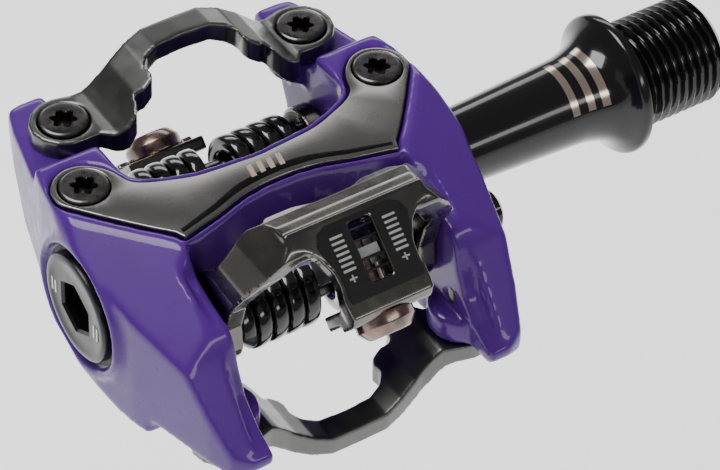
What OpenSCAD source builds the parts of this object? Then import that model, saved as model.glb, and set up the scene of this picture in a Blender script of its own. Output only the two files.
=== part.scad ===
// Two-sided clipless bicycle pedal.
// Origin: centre of the crank contact face. +X runs out along the crank thread.
// The top side's fixed claw is at +Y, its sprung claw at -Y, +Z is up.
// The second side is the first turned half a turn about the spindle.

/* [Placement] */
// distance from the crank face to the centre of the platform, mm
q_factor = 52.5; // [50:0.5:57]

/* [Body] */
// height of each wear plate's face above the spindle axis, mm
plate_height = 11.5; // [10:0.5:13]
// half of the gap between the two side wings, mm
wing_inner = 15.4; // [15:0.1:17]
// outside radius of the barrel round the spindle, mm
barrel_r = 6.8; // [6.6:0.05:7]

/* [Binding] */
// distance of each sprung claw's pivot from the spindle axis, mm
pivot_y = 11.5; // [11:0.1:13]
// radius of the claw's pivot pin, mm
pivot_r = 1.75; // [1.5:0.05:2]
// slope of the sprung claw's tail, degrees
tail_slope = 40; // [35:1:45]
// wire radius of the torsion springs, mm
wire_r = 1.08; // [0.8:0.02:1.15]

/* [Spindle] */
// outside radius of the 9/16 inch crank thread, mm
thread_r = 7.14; // [6:0.01:8]
// length of the threaded end, mm
thread_len = 12.5; // [11:0.5:15]
// radius of the flange against the crank, mm
flange_r = 9.4; // [8.5:0.1:10]

/* [Screws] */
// radius of the platform screw heads, mm
screw_head_r = 3.1; // [2.6:0.1:3.6]
// radius of the platform screw shanks, mm
screw_r = 1.75; // [1.5:0.05:2]

/* [Hidden] */
$fn = 64;
eps = 0.02;
run_gap = 0.05;
bore_r = 6.0;
thick = 1.5;
plate_screw = [20.8, 7.0];
claw_screw = [17.0, 18.6];
seat_z = plate_height - 2.6;
tail_at = [0, -28.6, 11.2];
bolt_drop = 4.5;
bolt_r = 2.0;
bolt_head_r = 3.7;
ball_r = 0.8;
coil_r = 4.3 - wire_r;
coil_pitch = 2 * wire_r + 0.15;
coils = 4;

// ---- placing and shared outlines ----

// moves geometry drawn about the platform's centre into place
module at_pedal() translate([-q_factor, 0, 0]) children();
// the same, for the second side
module at_bottom() at_pedal() rotate([180, 0, 0]) children();
// turns an outline drawn as [distance along X, radius] about the spindle axis
module about_x(pts) rotate([0, 90, 0]) rotate_extrude($fn = 96) polygon([for (p = pts) [p[1], p[0]]]);
module rod_x(x0, x1, r, y = 0, z = 0) translate([x0, y, z]) rotate([0, 90, 0]) cylinder(r = r, h = x1 - x0);
// extrudes an outline drawn in [y, z] from x0 to x1
module side_plate(x0, x1, pts)
    translate([x0, 0, 0]) rotate([90, 0, 90]) linear_extrude(x1 - x0) polygon(pts);
// extrudes an outline drawn in [x, z] from y0 to y1
module front_plate(y0, y1, pts)
    translate([0, y1, 0]) rotate([90, 0, 0]) linear_extrude(y1 - y0) polygon(pts);
function mirrored(half) = concat(half, [for (i = [len(half) - 1:-1:0]) [-half[i][0], half[i][1]]]);
function turned_half(half) = concat(half, [for (p = half) [-p[0], -p[1]]]);

plate_half = [[0, 1.1], [2.8, 1.3], [8, 1.8], [11.6, 2.9], [14.5, 4.2], [15.7, 5.3], [16.5, 7.5], [17.6, 9.2],
    [19.4, 10.6], [21.5, 10.9], [23.4, 10.0], [24.6, 8.4], [24.8, 6.4], [24.3, 5.2], [21.1, 1.1],
    [17.9, -2.7], [15.5, -5.3], [15.0, -6.6], [12.2, -5.9], [9.4, -5.2], [5.7, -4.0], [2.8, -3.55],
    [0, -3.4]];
wing_outline = [[wing_inner, -27.6], [18.1, -27.6], [20.6, -26.4], [21.8, -23], [23.2, -17.2], [24.9, -10.6],
    [25.6, -6.4], [26.2, -3.6], [26.2, 3.6], [25.6, 6.4], [24.9, 10.6], [23.2, 17.2], [21.8, 23],
    [20.6, 26.4], [18.1, 27.6], [wing_inner, 27.6]];
wing_profile_half = [[27.6, 6.4], [27.6, 7.6], [26.6, seat_z], [13.6, seat_z], [13.2, plate_height - 0.5],
    [12.6, plate_height], [-8, plate_height], [-9, 10.2], [-10.4, 8.3], [-13, 7.3], [-17.6, 6.0],
    [-18.8, 4.4], [-19.8, 1.2], [-21.4, -2.2], [-24.0, -4.6], [-26.9, -6.0]];

// the outer part of a wing is fuller beside the sprung claw
wing_edge = 17.4;
wing_outer_half = [[27.6, 6.4], [27.6, 7.6], [26.6, seat_z], [13.6, seat_z], [13.2, plate_height - 0.5],
    [12.6, plate_height], [-8, plate_height], [-13.4, 8.2], [-16.8, 6.4], [-18.8, 4.2], [-27.0, -6.2]];

module plate_outline(grow = 0) {
    if (grow > 0) offset(delta = grow) polygon(mirrored(plate_half));
    else polygon(mirrored(plate_half));
}

// one screw, head down to z = 0, countersunk below it
module flat_screw(head_r, shank_r, reach) difference() {
    union() {
        translate([0, 0, -0.5]) cylinder(r = head_r, h = 0.5 + 0.35);
        translate([0, 0, -0.5 - (head_r - shank_r)]) cylinder(r1 = shank_r, r2 = head_r, h = head_r - shank_r);
        translate([0, 0, -reach]) cylinder(r = shank_r, h = reach - 0.4);
    }
    translate([0, 0, -1.5]) linear_extrude(3) star_socket();
}
module star_socket(r = 1.45, lobe = 0.22)
    polygon([for (a = [0:10:350]) (r + lobe * cos(6 * a)) * [cos(a), sin(a)]]);
module countersink(head_r, shank_r, reach) {
    translate([0, 0, -0.5 ]) cylinder(r = head_r, h = 5);
    translate([0, 0, -0.5 - (head_r - shank_r)]) cylinder(r1 = shank_r, r2 = head_r, h = head_r - shank_r);
    translate([0, 0, -reach]) cylinder(r = shank_r, h = reach);
}
module at_screws(xy, z) for (s = [-1, 1]) translate([s * xy[0], xy[1], z]) children();

// ---- spindle and bearings ----

module spindle() color("#1c1c1e") difference() {
    union() {
        at_pedal() about_x([[-24.5, 0], [-24.5, 2.5], [-20, 2.5], [-20, 3.0], [-16.5, 3.0], [-15.9, 3.6],
            [-4, 3.6], [-4, 4.0], [1.5, 4.0], [1.5, 4.4], [7.5, 4.4], [9, 4.9], [24.5, 4.9], [45, 5.75], [46, 5.9],
            [48, 6.4], [49.5, 7.2], [50.6, 8.4], [51.2, flange_r - 0.3], [51.5, flange_r],
            [q_factor - 0.3, flange_r], [q_factor, flange_r - 0.3], [q_factor, 0]]);
        about_x([[-0.1, 0], [-0.1, thread_r], [thread_len + 0.2, thread_r],
            [thread_len + 1.2, thread_r - 1.0], [thread_len + 1.2, 0]]);
    }
    rotate([0, 90, 0]) translate([0, 0, thread_len - 8]) cylinder(r = 4.62, h = 12, $fn = 6);
}
module spindle_nut() color("#8a8c90") at_pedal() difference() {
    rotate([0, 90, 0]) translate([0, 0, -24.3]) cylinder(r = 4.6, h = 3.2, $fn = 6);
    rod_x(-25, -20.5, 2.5);
}
module nut_washer() color("#9a9ca0") at_pedal() difference() {
    rod_x(-21.1, -20.5, 4.1);
    rod_x(-22, -19, 2.5);
}
module ring(x0, x1, r0, r1, track_r) at_pedal() difference() {
    rod_x(x0, x1, r1);
    rod_x(x0 - 1, x1 + 1, r0);
    translate([(x0 + x1) / 2, 0, 0]) rotate([0, 90, 0])
        rotate_extrude($fn = 96) translate([track_r, 0]) circle(r = ball_r + run_gap, $fn = 32);
}
module balls(x, track_r, n) at_pedal()
    for (i = [0:n - 1]) translate([x, track_r * cos(i * 360 / n), track_r * sin(i * 360 / n)])
        sphere(r = ball_r, $fn = 24);
module shields(x0, x1, r0, r1) at_pedal()
    for (x = [x0, x1 - 0.25]) difference() {
        rod_x(x, x + 0.25, r1);
        rod_x(x - 1, x + 2, r0);
    }
// outer bearing: 6 x 12 x 4 mm, centre bearing: 8 x 12 x 3.5 mm
module outer_bearing_outer_ring() color("#a8aaae") ring(-20.5, -16.5, 5.1, bore_r, 4.5);
module outer_bearing_inner_ring() color("#a8aaae") ring(-20.5, -16.5, 3.0, 3.95, 4.5);
module outer_bearing_balls() color("#c8cace") balls(-18.5, 4.5, 10);
module outer_bearing_shields() color("#6a6c70") shields(-20.5, -16.5, 4.05, 5.1);
module centre_bearing_outer_ring() color("#a8aaae") ring(-3.5, 0, 5.4, bore_r, 5.0);
module centre_bearing_inner_ring() color("#a8aaae") ring(-3.5, 0, 4.0, 4.6, 5.0);
module centre_bearing_balls() color("#c8cace") balls(-1.75, 5.0, 13);
module centre_bearing_shields() color("#6a6c70") shields(-3.5, 0, 4.7, 5.4);
module inboard_bush() color("#b9b39a") at_pedal() difference() {
    rod_x(10, 24, bore_r);
    rod_x(9, 25, 4.9 + run_gap);
}
module inboard_seal() color("#222222") at_pedal() difference() {
    union() {
        rod_x(24, 26.4, 7.2);
        about_x([[26.4, 0], [26.4, 6.9], [27.2, 6.2], [27.2, 0]]);
    }
    about_x([[23, 0], [23, 4.93], [24.5, 5.0], [28, 5.2], [28, 0]]);
}

// ---- body ----

module wing() intersection() {
    union() {
        side_plate(14, 27, turned_half(wing_profile_half));
        side_plate(wing_edge, 27, turned_half(wing_outer_half));
    }
    translate([0, 0, -15]) linear_extrude(30) polygon(wing_outline);
    front_plate(-28, 28, [[wing_inner - 1, -11.5], [25.1, -11.5], [26.4, -9.2], [26.4, 9.2], [25.1, 11.5],
        [wing_inner - 1, 11.5]]);
}
module side_solid() {
    // column and rim that carry the wear plate
    linear_extrude(plate_height) intersection() {
        plate_outline(1.0);
        translate([-wing_inner - 1, -7.15]) square([2 * wing_inner + 2, 14]);
    }
    // bosses under the fixed claw
    at_screws(claw_screw, 5.2) cylinder(r = 4.3, h = seat_z - 5.2);
}
module side_cut() {
    translate([0, 0, plate_height - thick]) linear_extrude(thick + 1) plate_outline(0.25);
    at_screws(plate_screw, plate_height) countersink(screw_head_r, screw_r, 7.5);
    at_screws(claw_screw, plate_height) countersink(screw_head_r, screw_r, 6.4);
    // long bevel on each wing beside the sprung claw
    for (s = [0, 1]) mirror([s, 0, 0]) translate([24.9, 3.4, plate_height]) rotate([0, 31.7, -40.4])
        translate([-30, -30, 0]) cube([60, 60, 20]);
    // socket for the pivot pin, open at the crank side
    rod_x(-20.5, 30, pivot_r, -pivot_y, 0);
}
module pedal_body() color("#4b378c") at_pedal() difference() {
    union() {
        rod_x(-wing_inner - 1, wing_inner + 1, barrel_r);
        for (s = [0, 1]) mirror([s, 0, 0]) wing();
        for (a = [0, 180]) rotate([a, 0, 0]) side_solid();
        // raised rings round the cap and the seal
        rod_x(-26.4, -20, 9.2);
        rod_x(20, 26.4, 8.6);
    }
    for (a = [0, 180]) rotate([a, 0, 0]) side_cut();
    // flat seat for the head of each pivot pin
    for (s = [-1, 1]) rod_x(24.8, 30, 3.0, s * pivot_y, 0);
    rod_x(-30, 28, bore_r);
    rod_x(-30, -25.1, 8.2);
    rod_x(-30, -21.1, 6.6);
    rod_x(24, 30, 7.2);
}
module end_cap() color("#3a3c40") at_pedal() difference() {
    union() {
        about_x([[-26.5, 0], [-26.5, 6.7], [-26.2, 7.1], [-25.1, 7.1], [-25.1, 6.6], [-24.9, 6.6],
            [-24.9, 0]]);
        difference() {
            rod_x(-25.1, -21.6, 6.6);
            rod_x(-26, -20, 5.5);
        }
    }
    rotate([0, 90, 0]) translate([0, 0, -28]) cylinder(r = 3.46, h = 2.6, $fn = 6);
}

// ---- platform parts, drawn for the top side ----

module wear_plate() color("#6b6b66") difference() {
    translate([0, 0, plate_height - thick]) linear_extrude(thick) plate_outline();
    // groove beside the sprung claw
    translate([0, 0, plate_height - 0.35]) linear_extrude(1) intersection() {
        difference() {
            translate([0, 1.25]) plate_outline();
            translate([0, 1.95]) plate_outline();
        }
        translate([-14.6, -7]) square([29.2, 8.1]);
    }
    at_screws(plate_screw, plate_height) countersink(screw_head_r + 0.1, screw_r + 0.1, 3);
}
module plate_screws() color("#2b2c30")
    at_screws(plate_screw, plate_height) flat_screw(screw_head_r, screw_r, 7.5);
module claw_screws() color("#2b2c30")
    at_screws(claw_screw, plate_height) flat_screw(screw_head_r, screw_r, 6.4);

front_half = [[0, 22.6], [3.9, 22.6], [6.8, 22.0], [9.6, 21.5], [12.4, 21.8], [14.6, 22.5], [16.2, 22.9],
    [18.0, 22.85], [19.8, 21.9], [21.0, 20.3], [21.35, 18.6], [20.9, 16.8], [19.7, 15.3], [17.8, 14.4],
    [16.0, 14.3], [14.4, 14.4], [13.2, 12.8], [11.6, 12.0], [10.3, 12.4], [9.6, 13.6], [9.3, 14.8],
    [8.2, 14.2], [6.9, 14.5], [6.4, 15.4], [6.6, 16.8], [5.6, 18.1], [3.6, 18.8], [0, 19.0]];
module front_claw() color("#202124") difference() {
    intersection() {
        linear_extrude(25) polygon(mirrored(front_half));
        front_plate(10, 26, mirrored([[0, 17.6], [4.0, 17.5], [6.6, 16.8], [9.2, 15.2], [11.6, 12.9],
            [12.8, 11.9], [14.0, plate_height], [22, plate_height], [22, seat_z], [12.2, seat_z], [11.2, 9.6],
            [8.6, 12.2], [6.2, 13.9], [3.9, 14.8], [0, 14.9]]));
    }
    at_screws(claw_screw, plate_height) countersink(screw_head_r + 0.1, screw_r + 0.1, 3);
}

module at_tail() translate(tail_at) rotate([tail_slope, 0, 0]) children();
// tail drawn flat: +Y runs up the tail, +Z out of its face, z = 0 on the face
tail_half = [[0, 0], [5.5, 0], [5.7, 2.4], [5.35, 4.0], [5.5, 6.0], [6.4, 8.2], [7.8, 9.6], [9.4, 10.2], [9.4, 12.3],
    [0, 12.3]];
module rear_claw() color("#3c3a37") difference() {
    union() {
        at_tail() {
            translate([0, 0, -2.3]) linear_extrude(2.3) polygon(mirrored(tail_half));
            // rolled end of the tail and the flange the tension bolt sits in
            rod_x(-5.5, 5.5, 1.7, 1.0, -1.7);
            translate([-5.5, -0.7, -4.6]) cube([11, 2.2, 2.9]);
            translate([-5.5, 0, -8.2]) cube([11, 1.8, 6]);
        }
        // lip over the cleat
        intersection() {
            side_plate(-10, 10, [[-20.4, 18.1], [-19.0, 18.75], [-17.2, 18.6], [-15.2, 17.9], [-13.6, 16.9],
                [-13.0, 16.2], [-13.2, 15.2], [-14.6, 14.7], [-17.2, 15.2], [-20.4, 16.0]]);
            linear_extrude(22) polygon(mirrored([[0, -15.0], [2.6, -14.9], [4.0, -13.9], [5.2, -13.1],
                [7.0, -12.9], [8.6, -13.4], [9.5, -14.8], [9.6, -21], [0, -21]]));
        }
        // shoulders and arms down to the pivot
        intersection() {
            front_plate(-24, -6, mirrored([[0, 18.9], [8.4, 18.9], [9.6, 18.2], [12.4, 15.2], [14.5, 11.6],
                [15.0, 9.4], [15.0, -5], [12.4, -5], [12.4, 8.6], [11.6, 11.2], [9.9, 14.0], [8.4, 15.6],
                [0, 15.8]]));
            union() {
                side_plate(-16, 16, [[-15.75, -0.4], [-15.4, 3], [-16.4, 7], [-18.4, 10.4], [-20.6, 14.2],
                    [-21.4, 16.9], [-20.8, 17.75], [-19.2, 18.75], [-17.2, 18.6], [-15.2, 17.9], [-13.7, 16.4],
                    [-13.2, 13.2], [-12.4, 10.6], [-9.2, 8.0], [-7.6, 3.4], [-7.25, -0.4]]);
                rod_x(-16, 16, 4.2, -pivot_y, 0);
            }
        }
    }
    at_tail() {
        // window with the scale's indicator
        translate([-1.5, 3.4, -3]) cube([3.0, 7.4, 4]);
        translate([0, -2, -bolt_drop]) rotate([-90, 0, 0]) cylinder(r = bolt_r + run_gap, h = 5);
        translate([0, -4, -bolt_drop]) rotate([-90, 0, 0]) cylinder(r = bolt_head_r + 0.15, h = 4);
    }
    rod_x(-17, 17, pivot_r + run_gap, -pivot_y, 0);
}
module pivot_pin() color("#1c1c1e") {
    rod_x(-20.4, 24.8, pivot_r, -pivot_y, 0);
    translate([24.8, -pivot_y, 0]) about_x([[0, 0], [0, 2.6], [1.1, 2.6], [1.5, 2.1], [1.5, 0]]);
}
module springs() color("#151516") for (s = [-1, 1]) for (i = [0:coils - 1])
    translate([s * (2.6 + i * coil_pitch), -pivot_y, 0]) rotate([0, 90, 0])
        rotate_extrude($fn = 48) translate([coil_r, 0]) circle(r = wire_r, $fn = 24);
module tension_bolt() color("#7a5a48") at_tail() translate([0, 0, -bolt_drop]) rotate([-90, 0, 0]) difference() {
    union() {
        translate([0, 0, -2.9]) cylinder(r = bolt_head_r, h = 2.85);
        translate([0, 0, -0.1]) cylinder(r = bolt_r, h = 8.9);
    }
    translate([0, 0, -3.5]) cylinder(r = 1.73, h = 2.4, $fn = 6);
}
module tension_nut() color("#9c9ea2") at_tail() difference() {
    union() {
        translate([-4.6, 5.4, -7.4]) cube([9.2, 3.0, 4.9]);
        translate([-1.3, 6.1, -2.6]) cube([2.6, 1.5, 1.9]);
    }
    translate([0, 4, -bolt_drop]) rotate([-90, 0, 0]) cylinder(r = bolt_r + run_gap, h = 6);
}

module top_wear_plate() at_pedal() wear_plate();
module top_plate_screws() at_pedal() plate_screws();
module top_front_claw() at_pedal() front_claw();
module top_claw_screws() at_pedal() claw_screws();
module top_rear_claw() at_pedal() rear_claw();
module top_pivot_pin() at_pedal() pivot_pin();
module top_springs() at_pedal() springs();
module top_tension_bolt() at_pedal() tension_bolt();
module top_tension_nut() at_pedal() tension_nut();
module bottom_wear_plate() at_bottom() wear_plate();
module bottom_plate_screws() at_bottom() plate_screws();
module bottom_front_claw() at_bottom() front_claw();
module bottom_claw_screws() at_bottom() claw_screws();
module bottom_rear_claw() at_bottom() rear_claw();
module bottom_pivot_pin() at_bottom() pivot_pin();
module bottom_springs() at_bottom() springs();
module bottom_tension_bolt() at_bottom() tension_bolt();
module bottom_tension_nut() at_bottom() tension_nut();

spindle();
spindle_nut();
nut_washer();
pedal_body();
end_cap();
inboard_bush();
inboard_seal();
outer_bearing_outer_ring();
outer_bearing_inner_ring();
outer_bearing_balls();
outer_bearing_shields();
centre_bearing_outer_ring();
centre_bearing_inner_ring();
centre_bearing_balls();
centre_bearing_shields();
top_wear_plate();
top_plate_screws();
top_front_claw();
top_claw_screws();
top_rear_claw();
top_pivot_pin();
top_springs();
top_tension_bolt();
top_tension_nut();
bottom_wear_plate();
bottom_plate_screws();
bottom_front_claw();
bottom_claw_screws();
bottom_rear_claw();
bottom_pivot_pin();
bottom_springs();
bottom_tension_bolt();
bottom_tension_nut();
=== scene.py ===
import bpy
import bmesh
import math
from mathutils import Matrix, Vector


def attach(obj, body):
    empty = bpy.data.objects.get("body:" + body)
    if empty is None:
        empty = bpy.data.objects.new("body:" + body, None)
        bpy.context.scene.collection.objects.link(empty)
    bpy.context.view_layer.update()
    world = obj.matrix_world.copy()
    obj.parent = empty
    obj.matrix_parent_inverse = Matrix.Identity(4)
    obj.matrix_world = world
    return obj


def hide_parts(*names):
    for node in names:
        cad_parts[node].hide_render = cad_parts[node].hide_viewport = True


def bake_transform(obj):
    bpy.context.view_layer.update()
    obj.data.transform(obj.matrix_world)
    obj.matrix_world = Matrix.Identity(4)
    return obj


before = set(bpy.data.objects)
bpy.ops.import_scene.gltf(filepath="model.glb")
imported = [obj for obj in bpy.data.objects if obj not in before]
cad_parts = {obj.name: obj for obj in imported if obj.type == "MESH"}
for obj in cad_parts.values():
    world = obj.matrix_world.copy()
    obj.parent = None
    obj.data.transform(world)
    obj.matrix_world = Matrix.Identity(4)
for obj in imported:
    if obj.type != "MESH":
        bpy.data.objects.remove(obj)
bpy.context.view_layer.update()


# ---- Spindle ----
# The axle of black oxidised steel, turned in one piece with its crank flange. Its thread is
# rolled, its end is broached for a hexagon key, and three bands are etched back to bare metal.

def finish(name, color, metallic, rough, coat=0.0, coat_rough=0.05, specular=0.5, grain=None, shades=None,
           drawn=(1, 1, 1)):
    """A finish with patchy roughness (grain: scale, detail, low, high) and colour (shades likewise)."""
    mat = bpy.data.materials.new(name)
    mat.use_nodes = True
    nodes, links = mat.node_tree.nodes, mat.node_tree.links
    shader = nodes["Principled BSDF"]
    shader.inputs["Base Color"].default_value = (*color, 1)
    shader.inputs["Metallic"].default_value = metallic
    shader.inputs["Roughness"].default_value = rough
    shader.inputs["Coat Weight"].default_value = coat
    shader.inputs["Coat Roughness"].default_value = coat_rough
    shader.inputs["Specular IOR Level"].default_value = specular
    if grain:
        scale, detail, smooth, coarse = grain
        span = nodes.new("ShaderNodeMapRange")
        span.inputs["From Min"].default_value = 0.3
        span.inputs["From Max"].default_value = 0.7
        span.inputs["To Min"].default_value = smooth
        span.inputs["To Max"].default_value = coarse
        links.new(mottle(mat, scale, detail, drawn), span.inputs["Value"])
        links.new(span.outputs["Result"], shader.inputs["Roughness"])
    if shades:
        scale, detail, dark, light = shades
        ramp = nodes.new("ShaderNodeValToRGB")
        for stop, at, tone in zip(ramp.color_ramp.elements, (0.3, 0.7), (dark, light)):
            stop.position = at
            stop.color = (*tone, 1)
        links.new(mottle(mat, scale, detail), ramp.inputs["Fac"])
        links.new(ramp.outputs["Color"], shader.inputs["Base Color"])
    return mat


def mottle(mat, scale, detail, drawn=(1, 1, 1)):
    """Clouded noise on the piece's own coordinates, which may be drawn out along an axis."""
    nodes, links = mat.node_tree.nodes, mat.node_tree.links
    where = nodes.new("ShaderNodeTexCoord")
    draw = nodes.new("ShaderNodeMapping")
    draw.inputs["Scale"].default_value = drawn
    cloud = nodes.new("ShaderNodeTexNoise")
    cloud.inputs["Scale"].default_value = scale
    cloud.inputs["Detail"].default_value = detail
    links.new(where.outputs["Object"], draw.inputs["Vector"])
    links.new(draw.outputs["Vector"], cloud.inputs["Vector"])
    return cloud.outputs["Fac"]


def hexagon(half, ease=0.0):
    """Radius of a hexagon key's socket at an angle, half its width across flats, eased outwards."""
    return lambda angle: half / math.cos((angle + math.pi / 6) % (math.pi / 3) - math.pi / 6) + ease


def turned(bm, outline, steps, at, along):
    """Spins an outline of [distance, radius] in mm about the axis; a radius may follow the angle."""
    ring = bm.verts.layers.int.new("ring")
    verts = []
    for k, (distance, radius) in enumerate(outline):
        verts.append(bm.verts.new(Vector((distance, radius(0.0) if callable(radius) else radius, 0)) / 1000))
        verts[-1][ring] = k
    edges = [bm.edges.new(pair) for pair in zip(verts, verts[1:])]
    bmesh.ops.spin(bm, geom=verts + edges, cent=(0, 0, 0), axis=(1, 0, 0), angle=math.tau, steps=steps,
                   use_merge=True, use_duplicate=False)
    for v in bm.verts:
        radius = outline[v[ring]][1]
        if callable(radius):
            angle = math.atan2(v.co.z, v.co.y)
            reach = radius(angle) / 1000
            v.co.y, v.co.z = reach * math.cos(angle), reach * math.sin(angle)
    bmesh.ops.remove_doubles(bm, verts=bm.verts, dist=1e-8)
    last = len(outline) - 1
    bmesh.ops.holes_fill(bm, edges=[e for e in bm.edges if e.is_boundary and all(v[ring] == last for v in e.verts)])
    bm.verts.layers.int.remove(ring)
    facing = Vector((1, 0, 0)).rotation_difference(along).to_matrix().to_4x4()
    bmesh.ops.transform(bm, matrix=Matrix.Translation(at) @ facing, verts=bm.verts)


def finished(name, bm, body, mat, nodes=(), sharp=35):
    """Makes the mesh an object with its finish, on its body, in place of the CAD nodes named."""
    bmesh.ops.recalc_face_normals(bm, faces=bm.faces)
    mesh = bpy.data.meshes.new(name)
    bm.to_mesh(mesh)
    bm.free()
    mesh.shade_smooth()
    mesh.set_sharp_from_angle(angle=math.radians(sharp))
    mesh.materials.append(mat)
    ob = bpy.data.objects.new(name, mesh)
    bpy.context.collection.objects.link(ob)
    if body:
        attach(ob, body)
    if nodes:
        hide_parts(*nodes)
    return ob


BLACK_OXIDE = (0.022, 0.021, 0.021)
ETCHED_STEEL = (0.46, 0.38, 0.31)
BLACK_COAT = 0.45
spindle_black = finish("spindle_black", BLACK_OXIDE, 0.85, 0.16, coat=BLACK_COAT, grain=(240, 5, 0.13, 0.24),
                       drawn=(0.3, 1, 1))


def etch_bands(mat, centres, half_width, facing, half_arc):
    """Bares the metal in bands round part of the spindle."""
    nodes, links = mat.node_tree.nodes, mat.node_tree.links

    def sum_of(operation, *terms):
        node = nodes.new("ShaderNodeMath")
        node.operation = operation
        for socket, term in zip(node.inputs, terms):
            if isinstance(term, (int, float)):
                socket.default_value = term
            else:
                links.new(term, socket)
        return node.outputs[0]

    where = nodes.new("ShaderNodeTexCoord")
    axes = nodes.new("ShaderNodeSeparateXYZ")
    links.new(where.outputs["Object"], axes.inputs["Vector"])
    bands = 0.0
    for centre in centres:
        bands = sum_of("ADD", bands, sum_of("COMPARE", axes.outputs["X"], centre, half_width))
    angle = sum_of("ARCTAN2", axes.outputs["Z"], axes.outputs["Y"])
    bare = sum_of("MULTIPLY", bands, sum_of("COMPARE", angle, facing, half_arc))
    mix = nodes.new("ShaderNodeMix")
    mix.data_type = "RGBA"
    mix.inputs["A"].default_value = (*BLACK_OXIDE, 1)
    mix.inputs["B"].default_value = (*ETCHED_STEEL, 1)
    links.new(bare, mix.inputs["Factor"])
    shader = nodes["Principled BSDF"]
    links.new(mix.outputs["Result"], shader.inputs["Base Color"])
    links.new(sum_of("MULTIPLY_ADD", bare, -BLACK_COAT, BLACK_COAT), shader.inputs["Coat Weight"])


etch_bands(spindle_black, (-0.00915, -0.00685, -0.0049), 0.00052, math.radians(112), math.radians(44))

THREAD_PITCH = 1.27
THREAD_START = 1.1
THREAD_END = 13.7
THREAD_ROOT = 6.36
THREAD_HEIGHT = 0.78
THREAD_CREST = 7.14
THREAD_ROWS = 119


def thread(x):
    """Radius of the thread at x by angle, run in at the flange and chamfered at the end."""
    def radius(angle):
        phase = (x / THREAD_PITCH - angle / math.tau) % 1.0
        crest = max(0.0, min(1.0, (abs(phase - 0.5) * 2 - 0.14) / 0.72))
        run_in = 6.2 + (x - THREAD_START) * 1.1
        chamfer = THREAD_CREST - max(0.0, x - 12.75) * 1.05
        return min(THREAD_ROOT + THREAD_HEIGHT * crest, run_in, chamfer)
    return radius


shaft = [[-77, 0], [-77, 2.2], [-76.7, 2.5], [-72.5, 2.5], [-72.5, 3.0], [-69, 3.0], [-68.4, 3.6], [-56.5, 3.6],
         [-56.5, 4.0], [-51, 4.0], [-51, 4.4], [-45, 4.4], [-43.5, 4.9], [-28, 4.9], [-20, 5.2], [-12, 5.55],
         [-7.5, 5.75], [-6.5, 5.88], [-5.5, 6.1], [-4.5, 6.4], [-3.7, 6.75], [-3.0, 7.2], [-2.4, 7.75],
         [-1.9, 8.4], [-1.55, 8.95], [-1.4, 9.15], [-1.2, 9.32], [-0.95, 9.4], [-0.35, 9.4], [-0.12, 9.3],
         [0.0, 9.05], [0.0, 6.6], [0.15, 6.25], [THREAD_START, 6.2]]
for row in range(1, THREAD_ROWS + 1):
    x = THREAD_START + (THREAD_END - THREAD_START) * row / THREAD_ROWS
    shaft.append([x, thread(x)])
shaft += [[THREAD_END, hexagon(4.0, 0.35)], [13.35, hexagon(4.0)], [5.85, hexagon(4.0)]]
bm = bmesh.new()
turned(bm, shaft, 96, Vector((0, 0, 0)), Vector((1, 0, 0)))
finished("spindle_turned", bm, "spindle", spindle_black, ["spindle"], 40)


# ---- Spindle nut, washer, bearings, bush and seal ----
# The zinc-plated nut and washer clamp a small ball bearing on the spindle's outer end. A second
# bearing, a polymer bush and a rubber lip seal are pressed into the body's bore.

def dressed(node, mat):
    """Gives a CAD node its finish and breaks its sharp edges."""
    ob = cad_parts[node]
    ob.data.materials.clear()
    ob.data.materials.append(mat)
    edges = ob.modifiers.new("edges", "BEVEL")
    edges.width = 0.00012
    edges.segments = 2
    edges.limit_method = "ANGLE"
    edges.angle_limit = math.radians(40)


zinc_steel = finish("zinc_steel", (0.36, 0.37, 0.385), 1.0, 0.3, grain=(500, 4, 0.24, 0.4))
bearing_steel = finish("bearing_steel", (0.55, 0.56, 0.58), 1.0, 0.16, grain=(700, 3, 0.12, 0.22))
# Dull black: the seals, the bearings' shields, and the thin ring drawn under the end cap's rim.
seal_rubber = finish("seal_rubber", (0.02, 0.02, 0.02), 0.0, 0.6, grain=(600, 3, 0.5, 0.7))
bush_polymer = finish("bush_polymer", (0.44, 0.40, 0.29), 0.0, 0.5, grain=(500, 3, 0.42, 0.6))
dressed("spindle_nut", zinc_steel)
dressed("nut_washer", zinc_steel)
dressed("inboard_bush", bush_polymer)
dressed("inboard_seal", seal_rubber)
for bearing in ("outer_bearing", "centre_bearing"):
    for part in ("outer_ring", "inner_ring", "balls"):
        dressed(f"{bearing}_{part}", bearing_steel)
    dressed(bearing + "_shields", seal_rubber)


# ---- Pedal body ----
# One aluminium casting with a spindle barrel between two side wings, under glossy purple paint
# with a clear coat. Its edges come out of the mould rounded.

def cast(name, node, voxel, rounds, keep, body, mat):
    """A copy of a CAD node with its edges worn round like a casting's."""
    ob = bpy.data.objects.new(name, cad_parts[node].data.copy())
    bpy.context.collection.objects.link(ob)
    remesh = ob.modifiers.new("remesh", "REMESH")
    remesh.mode = "VOXEL"
    remesh.voxel_size = voxel
    soften = ob.modifiers.new("smooth", "SMOOTH")
    soften.factor = 0.5
    soften.iterations = rounds
    thin = ob.modifiers.new("decimate", "DECIMATE")
    thin.ratio = keep
    bpy.context.view_layer.update()
    shape = ob.evaluated_get(bpy.context.evaluated_depsgraph_get())
    mesh = bpy.data.meshes.new_from_object(shape)
    ob.modifiers.clear()
    ob.data = mesh
    mesh.name = name
    mesh.shade_smooth()
    mesh.materials.clear()
    mesh.materials.append(mat)
    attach(ob, body)
    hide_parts(node)


purple_paint = finish("purple_paint", (0.062, 0.012, 0.185), 0.0, 0.34, coat=0.4, coat_rough=0.035, specular=0.15,
                      grain=(420, 4, 0.26, 0.38),
                      shades=(90, 2, (0.064, 0.0105, 0.180), (0.070, 0.0120, 0.200)))
cast("body", "pedal_body", 0.00032, 22, 0.45, "pedal_body", purple_paint)
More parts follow.
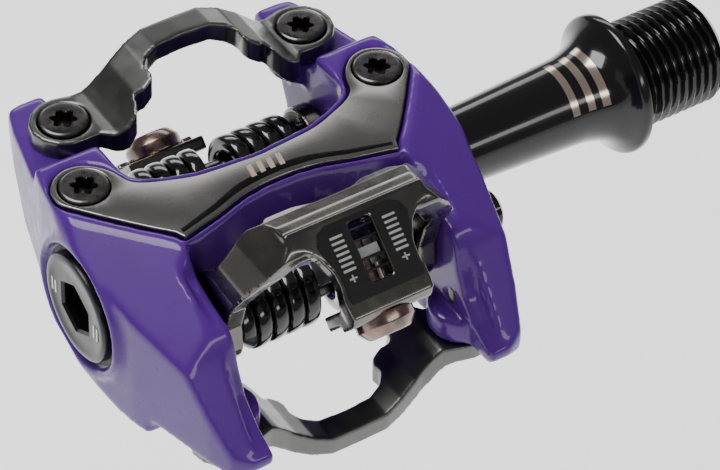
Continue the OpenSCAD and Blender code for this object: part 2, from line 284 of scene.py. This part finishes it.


# ---- End cap ----
# A turned, dark anodised aluminium cap that screws into the outer wing with a hexagon key. A thin
# dull black ring is drawn under its rim, and two pairs of short bars are laser-marked beside the socket.
END_FACE = Vector((-0.0790, 0, 0))
OUTWARDS = Vector((1, 0, 0))
cap_grey = finish("cap_grey", (0.017, 0.017, 0.019), 0.9, 0.36, coat=0.15, coat_rough=0.25, grain=(500, 4, 0.27, 0.38))
bare_marks = finish("scale_marks", (0.52, 0.52, 0.51), 1.0, 0.34, grain=(900, 4, 0.28, 0.45))
bm = bmesh.new()
turned(bm, [[4.9, 5.4], [4.9, 6.55], [1.5, 6.6], [1.42, 7.0], [1.2, 7.1], [0.5, 7.1], [0.2, 7.0], [0.05, 6.75],
            [0.0, 6.4], [0.0, 5.9], [0.08, 5.7], [0.08, 4.2], [0.08, hexagon(3.0, 0.35)], [0.4, hexagon(3.0)],
            [2.8, hexagon(3.0)]], 96, END_FACE, OUTWARDS)
finished("cap", bm, "pedal_body", cap_grey, ["end_cap"], 40)

# A thin dull black ring under the cap's rim, where the cap meets the wing.
bm = bmesh.new()
turned(bm, [[0.3, 7.15], [0.3, 8.15], [0.6, 8.15], [0.6, 7.15], [0.3, 7.15]], 96, Vector((-0.0781, 0, 0)), OUTWARDS)
finished("cap_black_ring", bm, "pedal_body", seal_rubber)

bm = bmesh.new()
for y in (-4.55, -5.3, 4.55, 5.3):
    bmesh.ops.create_cube(bm, size=0.001, matrix=Matrix.Translation((-0.07894, y / 1000, 0))
                          @ Matrix.Diagonal((0.12, 0.34, 2.0, 1)))
finished("cap_emblem", bm, "pedal_body", bare_marks, [], 30)


# ---- Wear plates ----
# A hardened steel plate on each face, where the shoe rubs. It is blanked and bevelled, sits in the
# casting under two screws, and has an inlaid black line and four etched, slanted bars.
SIDES = ("top", "bottom")
PLATE_TOP = 11.5
PLATE_UNDER = 10.0
PLATE_SCREW = (20.8, 7.0)
PLATE_HOLE = 3.2
PLATE_HALF = [[0, 1.1], [2.8, 1.3], [8, 1.8], [11.6, 2.9], [14.5, 4.2], [15.7, 5.3], [16.5, 7.5], [17.6, 9.2],
              [19.4, 10.6], [21.5, 10.9], [23.4, 10.0], [24.6, 8.4], [24.8, 6.4], [24.3, 5.2], [21.1, 1.1],
              [17.9, -2.7], [15.5, -5.3], [15.0, -6.6], [12.2, -5.9], [9.4, -5.2], [5.7, -4.0], [2.8, -3.55],
              [0, -3.4]]


def place(side, x, y, z):
    """A point in mm about the platform's centre; the second face is the first turned half way round."""
    turn = 1 if side == "top" else -1
    return Vector(((x - 52.5) / 1000, turn * y / 1000, turn * z / 1000))


def eased(points, cuts, corners):
    """Runs a smooth closed outline through the points, straight into each one listed as a corner."""
    out = []
    count = len(points)
    for i in range(count):
        before, start, end, after = (Vector(points[(i + k) % count]) for k in (-1, 0, 1, 2))
        leave = (end - start) if i in corners else (end - before) / 2
        arrive = (end - start) if (i + 1) % count in corners else (after - start) / 2
        size = (end - start).length
        if leave.length > size:
            leave = leave.normalized() * size
        if arrive.length > size:
            arrive = arrive.normalized() * size
        for c in range(cuts):
            t = c / cuts
            out.append((2 * t**3 - 3 * t**2 + 1) * start + (t**3 - 2 * t**2 + t) * leave
                       + (3 * t**2 - 2 * t**3) * end + (t**3 - t**2) * arrive)
    return out


plate_outline = PLATE_HALF + [[-x, y] for x, y in PLATE_HALF[-2:0:-1]]
points = len(plate_outline)
plate_edge = eased(plate_outline, 5, (14, 16, 17, points - 14, points - 16, points - 17))
plate_grey = finish("plate_grey", (0.180, 0.178, 0.168), 1.0, 0.26, coat=0.25, coat_rough=0.12,
                    grain=(160, 3, 0.24, 0.29),
                    shades=(60, 3, (0.170, 0.168, 0.159), (0.196, 0.193, 0.181)))
groove_black = finish("groove_black", (0.004, 0.004, 0.0045), 0.0, 0.25, specular=0.12, grain=(500, 4, 0.14, 0.26))
etched_tan = finish("etched_tan", (0.44, 0.35, 0.29), 0.9, 0.42, grain=(900, 4, 0.36, 0.52))

for side in SIDES:
    bm = bmesh.new()
    hole_x, hole_y = PLATE_SCREW
    holes = [[(s * hole_x + PLATE_HOLE * math.cos(math.tau * k / 48), hole_y + PLATE_HOLE * math.sin(math.tau * k / 48))
              for k in range(48)] for s in (-1, 1)]
    edges = []
    for loop in [plate_edge] + holes:
        verts = [bm.verts.new(place(side, x, y, PLATE_TOP)) for x, y in loop]
        edges += [bm.edges.new((a, b)) for a, b in zip(verts, verts[1:] + verts[:1])]
    filled = bmesh.ops.triangle_fill(bm, use_beauty=True, edges=edges)["geom"]
    under = bmesh.ops.extrude_face_region(bm, geom=[g for g in filled if isinstance(g, bmesh.types.BMFace)])
    bmesh.ops.translate(bm, vec=place(side, 0, 0, PLATE_UNDER) - place(side, 0, 0, PLATE_TOP),
                        verts=[g for g in under["geom"] if isinstance(g, bmesh.types.BMVert)])
    bm.normal_update()
    level = place(side, 0, 0, PLATE_TOP).z
    rim = [e for e in bm.edges if len(e.link_faces) == 2 and all(abs(v.co.z - level) < 1e-6 for v in e.verts)
           and e.calc_face_angle(0) > 1]
    bmesh.ops.bevel(bm, geom=rim, offset=0.00022, offset_type="OFFSET", segments=3, profile=0.5,
                    affect="EDGES", clamp_overlap=True, material=-1)
    finished(side + "_plate", bm, "pedal_body", plate_grey, [side + "_wear_plate"], 30)

    bm = bmesh.new()
    lower = sorted([v for v in plate_edge if v.y < -3.3 and abs(v.x) < 15.05], key=lambda v: v.x)
    last = None
    for v in lower:
        spread = 1.25 * (0.55 + 0.45 * (1 - abs(v.x) / 15.05))
        section = [bm.verts.new(place(side, v.x * 0.985, v.y + inset, height))
                   for inset, height in ((0.75, 11.502), (1.2, 11.54), (0.75 + spread, 11.502))]
        if last:
            for i in (0, 1):
                bm.faces.new((last[i], section[i], section[i + 1], last[i + 1]))
        last = section
    finished(side + "_inlay", bm, "pedal_body", groove_black, [], 30)

    bm = bmesh.new()
    for k in range(4):
        x = -2.55 + k * 1.35
        bar = [(x - 0.35, -1.95), (x + 0.35, -1.95), (x + 0.75, 0.15), (x + 0.05, 0.15)]
        face = bm.faces.new([bm.verts.new(place(side, a, b, 11.52)) for a, b in bar])
        under = bmesh.ops.extrude_face_region(bm, geom=[face])
        bmesh.ops.translate(bm, vec=place(side, 0, 0, 11.48) - place(side, 0, 0, 11.52),
                            verts=[g for g in under["geom"] if isinstance(g, bmesh.types.BMVert)])
    finished(side + "_emblem", bm, "pedal_body", etched_tan, [], 30)


# ---- Front claws and all the screws ----
# Each fixed claw is an investment-cast steel hoop, blackened. Two screws hold it on the wings and
# two more hold the plate: countersunk steel, with a six-lobed socket and a heat-tinted head.
claw_black = finish("claw_black", (0.084, 0.085, 0.082), 1.0, 0.34, coat=0.6, coat_rough=0.22,
                    grain=(380, 6, 0.28, 0.42))
pits = claw_black.node_tree.nodes.new("ShaderNodeBump")
pits.inputs["Distance"].default_value = 0.00001
pits.inputs["Strength"].default_value = 0.4
claw_black.node_tree.links.new(mottle(claw_black, 1500, 3), pits.inputs["Height"])
claw_black.node_tree.links.new(pits.outputs["Normal"], claw_black.node_tree.nodes["Principled BSDF"].inputs["Normal"])
screw_steel = finish("screw_steel", (0.055, 0.054, 0.060), 1.0, 0.28, coat=0.5, coat_rough=0.1,
                     grain=(900, 4, 0.2, 0.4),
                     shades=(350, 3, (0.040, 0.042, 0.052), (0.085, 0.070, 0.066)))


def six_lobes(ease=0.0):
    """Radius of the screws' socket at an angle."""
    return lambda angle: 1.42 + ease + 0.24 * math.cos(6 * angle + 0.6)


for side in SIDES:
    cast(side + "_front", side + "_front_claw", 0.00018, 14, 0.6, "pedal_body", claw_black)
    for kind, across, forward, reach in (("plate", *PLATE_SCREW, 7.5), ("claw", 17.0, 18.6, 9.0)):
        bm = bmesh.new()
        left, right = place(side, -across, forward, PLATE_TOP), place(side, across, forward, PLATE_TOP)
        turned(bm, [[-reach, 0], [-reach, 1.6], [-reach + 0.3, 1.75], [-1.9, 1.75], [-0.55, 3.05], [0.05, 3.1],
                    [0.22, 3.04], [0.32, 2.9], [0.35, 2.7], [0.35, 2.05],
                    [0.35, six_lobes(0.12)], [0.22, six_lobes()], [-1.3, six_lobes()]],
               72, left, Vector((0, 0, 1 if side == "top" else -1)))
        twin = bmesh.ops.duplicate(bm, geom=bm.verts[:] + bm.edges[:] + bm.faces[:])
        bmesh.ops.translate(bm, vec=right - left, verts=[g for g in twin["geom"] if isinstance(g, bmesh.types.BMVert)])
        finished(f"{side}_{kind}_screw_pair", bm, "pedal_body", screw_steel, [f"{side}_{kind}_screws"])


# ---- Rear claws ----
# The sprung claw on each face is cast steel, tumbled until it shines through its black. It swings
# on a steel pin through the wings' inner walls.
claw_steel = finish("claw_steel", (0.088, 0.082, 0.074), 1.0, 0.2, coat=0.6, coat_rough=0.08,
                    grain=(320, 5, 0.16, 0.30),
                    shades=(110, 2, (0.082, 0.078, 0.072), (0.126, 0.114, 0.100)))
for side in SIDES:
    cast(side + "_rear", side + "_rear_claw", 0.00018, 12, 0.6, side + "_rear_claw", claw_steel)
    dressed(side + "_pivot_pin", spindle_black)


# ---- Torsion springs ----
# Two coils of square-drawn, black music wire sit on each pivot pin, and push the rear claw shut.
# One end of each bears on the body and the other on the claw, so a coil winds between the two.
PIVOT_Y = -11.5
COIL_RADIUS = 3.22
WIRE_HALF = 1.08
COIL_START = 1.85
COIL_PITCH = 2.27
TURN_STEPS = 26
COIL_STEP = math.tau / TURN_STEPS
COIL_STEPS = 110
spring_black = finish("spring_black", (0.016, 0.016, 0.017), 0.8, 0.16, coat=0.9, coat_rough=0.06,
                      grain=(420, 4, 0.12, 0.26))


def squared(angle):
    c = math.cos(angle)
    return WIRE_HALF * math.copysign(abs(c) ** 0.55, c) * 0.97


for side in SIDES:
    for s in (-1, 1):
        bm = bmesh.new()
        ahead = Vector((s * COIL_PITCH / TURN_STEPS, -COIL_RADIUS * math.sin(COIL_STEP), 0)).normalized()
        start = []
        for b in (math.tau * i / 16 for i in range(16)):
            across = squared(b - math.pi / 2)
            start.append(bm.verts.new(place(side, s * COIL_START - ahead.y * across, PIVOT_Y + ahead.x * across,
                                            COIL_RADIUS - squared(b))))
        cap = bm.faces.new(start)
        wound = bmesh.ops.spin(bm, geom=start + list(cap.edges), cent=place(side, 0, PIVOT_Y, 0), axis=(1, 0, 0),
                               dvec=(s * COIL_PITCH / TURN_STEPS / 1000, 0, 0), angle=COIL_STEP * COIL_STEPS,
                               steps=COIL_STEPS, use_merge=False, use_duplicate=False)
        end = [g for g in wound["geom_last"] if isinstance(g, bmesh.types.BMVert)]
        for cut, lean in ((start, COIL_STEP / 2), (end, -COIL_STEP / 2)):
            bmesh.ops.rotate(bm, verts=cut, cent=sum((v.co for v in cut), Vector()) / 16,
                             matrix=Matrix.Rotation(lean, 3, "X"))
        bmesh.ops.holes_fill(bm, edges=[e for e in bm.edges if e.is_boundary])
        coil = finished(f"{side}_spring_{'out' if s < 0 else 'in'}", bm, None, spring_black,
                        [side + "_springs"], 50)
        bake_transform(coil)


# ---- Claw tail panels, scales and rungs ----
# The rear claw's tail carries a satin black panel round a window, with seven raised strokes and a
# plus sign on each side as its tension scale. Four rungs cross the window below it.
TAIL_SLOPE = math.radians(40)
scale_panel = finish("scale_panel", (0.006, 0.006, 0.006), 0.0, 0.34, specular=0.25, grain=(800, 4, 0.32, 0.46))


def tail(side, x, u, w):
    """A point in mm on the tail: across, up its slope, and off its face."""
    return place(side, x, -28.6 + u * math.cos(TAIL_SLOPE) - w * math.sin(TAIL_SLOPE),
                 11.2 + u * math.sin(TAIL_SLOPE) + w * math.cos(TAIL_SLOPE))


def tail_block(bm, side, x0, x1, u0, u1, w0, w1):
    """A square block lying along the tail."""
    v = [bm.verts.new(tail(side, x, u, w)) for w in (w0, w1) for u in (u0, u1) for x in (x0, x1)]
    for f in ((0, 1, 3, 2), (4, 5, 7, 6), (0, 1, 5, 4), (2, 3, 7, 6), (0, 2, 6, 4), (1, 3, 7, 5)):
        bm.faces.new([v[i] for i in f])


PANEL_FLANK = [[-1.75, 1.9], [-4.9, 1.9], [-5.15, 2.6], [-4.95, 4.0], [-5.1, 6.0], [-5.9, 8.2], [-6.2, 9.6],
               [-5.6, 10.9], [-4.4, 11.5], [-1.75, 11.5], [-1.75, 10.9], [-1.75, 3.3]]
PANEL_LOW = [[-1.75, 1.9], [1.75, 1.9], [1.75, 3.3], [-1.75, 3.3]]
PANEL_HIGH = [[-1.75, 10.9], [1.75, 10.9], [1.75, 11.5], [-1.75, 11.5]]
for side in SIDES:
    claw = side + "_rear_claw"
    bm = bmesh.new()
    for flat in (PANEL_FLANK, [[-x, u] for x, u in PANEL_FLANK], PANEL_LOW, PANEL_HIGH):
        bm.faces.new([bm.verts.new(tail(side, x, u, 0.10)) for x, u in flat])
    bmesh.ops.remove_doubles(bm, verts=bm.verts, dist=1e-7)
    under = bmesh.ops.extrude_face_region(bm, geom=list(bm.faces))
    bmesh.ops.translate(bm, vec=tail(side, 0, 0, -0.2) - tail(side, 0, 0, 0.10),
                        verts=[g for g in under["geom"] if isinstance(g, bmesh.types.BMVert)])
    finished(side + "_panel", bm, claw, scale_panel, [], 30)

    bm = bmesh.new()
    for s in (-1, 1):
        for k in range(7):
            tail_block(bm, side, *sorted((s * 2.75, s * 4.45)), 5.58 + k * 0.68, 5.88 + k * 0.68, 0.08, 0.16)
        tail_block(bm, side, *sorted((s * 3.1, s * 4.1)), 4.55, 4.75, 0.08, 0.16)
        tail_block(bm, side, s * 3.6 - 0.1, s * 3.6 + 0.1, 4.2, 5.1, 0.08, 0.16)
    finished(side + "_marks", bm, claw, bare_marks)

    bm = bmesh.new()
    for u in (4.6, 6.0, 8.4, 9.8):
        tail_block(bm, side, -1.7, 1.7, u, u + 0.35, -0.62, -0.22)
    bmesh.ops.bevel(bm, geom=list(bm.edges), offset=0.0001, offset_type="OFFSET", segments=2, profile=0.5,
                    affect="EDGES", clamp_overlap=True, material=-1)
    finished(side + "_rungs", bm, claw, scale_panel)


# ---- Tension bolts and nuts ----
# A copper-flashed steel bolt with a 3 mm hexagon socket runs up each tail. It draws a plated square
# nut along under the window, and the nut's finger reads against the scale.
bolt_copper = finish("bolt_copper", (0.21, 0.145, 0.115), 1.0, 0.22, coat=0.4, coat_rough=0.1,
                     grain=(700, 4, 0.16, 0.32),
                     shades=(420, 3, (0.10, 0.085, 0.085), (0.30, 0.19, 0.14)))
for side in SIDES:
    bm = bmesh.new()
    turned(bm, [[8.8, 0], [8.8, 1.7], [8.5, 2.0], [-0.06, 2.0], [-0.06, 3.5], [-0.3, 3.68], [-1.5, 3.7], [-1.7, 3.62],
                [-2.55, 2.9], [-2.82, 2.6], [-2.88, 2.3], [-2.89, hexagon(1.5, 0.15)], [-2.7, hexagon(1.5)],
                [-1.0, hexagon(1.5)]], 72, tail(side, 0, 0, -4.5),
           (tail(side, 0, 1, 0) - tail(side, 0, 0, 0)).normalized())
    finished(side + "_bolt", bm, side + "_tension_bolt", bolt_copper, [side + "_tension_bolt"])
    dressed(side + "_tension_nut", zinc_steel)


# ---- Studio: floor, lamps and camera ----
# A plain pale floor that glows a little, soft rectangular lamps, and a long lens from above the
# front left. None of it belongs to the pedal.
bm = bmesh.new()
bmesh.ops.create_grid(bm, x_segments=1, y_segments=1, size=3.0)
bmesh.ops.translate(bm, vec=(-0.05, 0, -0.11), verts=bm.verts)
mesh = bpy.data.meshes.new("floor")
bm.to_mesh(mesh)
bm.free()
floor = bpy.data.objects.new("floor", mesh)
bpy.context.collection.objects.link(floor)
floor_white = finish("floor_white", (0.93, 0.93, 0.93), 0.0, 0.7)
glow = floor_white.node_tree.nodes["Principled BSDF"]
glow.inputs["Emission Color"].default_value = (1, 1, 1, 1)
glow.inputs["Emission Strength"].default_value = 0.8
mesh.materials.append(floor_white)

world = bpy.data.worlds.new("studio")
bpy.context.scene.world = world
world.use_nodes = True
world.node_tree.nodes["Background"].inputs["Color"].default_value = (1, 1, 1, 1)
world.node_tree.nodes["Background"].inputs["Strength"].default_value = 0.22

LAMP_AIM = Vector((-0.05, 0, 0))
for name, at, width, height, watts in (
        ("key", (-0.22, 0.16, 0.55), 0.34, 0.34, 4.2),
        ("left", (-0.62, -0.28, 0.22), 0.26, 0.45, 0.12),
        ("front", (0.05, -0.62, 0.38), 0.55, 0.12, 1.3),
        ("back", (0.25, 0.55, 0.30), 0.55, 0.18, 1.2)):
    lamp = bpy.data.lights.new(name, "AREA")
    lamp.shape = "RECTANGLE"
    lamp.size = width
    lamp.size_y = height
    lamp.energy = watts
    ob = bpy.data.objects.new(name, lamp)
    bpy.context.collection.objects.link(ob)
    ob.location = at
    ob.rotation_euler = (LAMP_AIM - Vector(at)).to_track_quat("-Z", "Y").to_euler()

AZIMUTH, ELEVATION, ROLL = math.radians(-34.60), math.radians(43.57), math.radians(2.18)
DISTANCE = 427.5
FOCAL = 3500.0
IMAGE = (720, 470)
CENTRE = (263.3, 229.0)
back = Vector((math.sin(AZIMUTH) * math.cos(ELEVATION), -math.cos(AZIMUTH) * math.cos(ELEVATION), math.sin(ELEVATION)))
level_right = (-back).cross(Vector((0, 0, 1))).normalized()
level_up = level_right.cross(-back)
right = math.cos(ROLL) * level_right + math.sin(ROLL) * level_up
up = -math.sin(ROLL) * level_right + math.cos(ROLL) * level_up
aside = (CENTRE[0] - IMAGE[0] / 2) * DISTANCE / FOCAL
above = -(CENTRE[1] - IMAGE[1] / 2) * DISTANCE / FOCAL
cam = bpy.data.cameras.new("camera")
cam.sensor_width = 36
cam.lens = FOCAL / IMAGE[0] * cam.sensor_width
cam.clip_start = 0.01
camera = bpy.data.objects.new("camera", cam)
bpy.context.collection.objects.link(camera)
camera.matrix_world = (Matrix.Translation((back * DISTANCE - right * aside - up * above) / 1000 + place("top", 0, 0, 0))
                       @ Matrix((right, up, back)).transposed().to_4x4())
bpy.context.scene.camera = camera
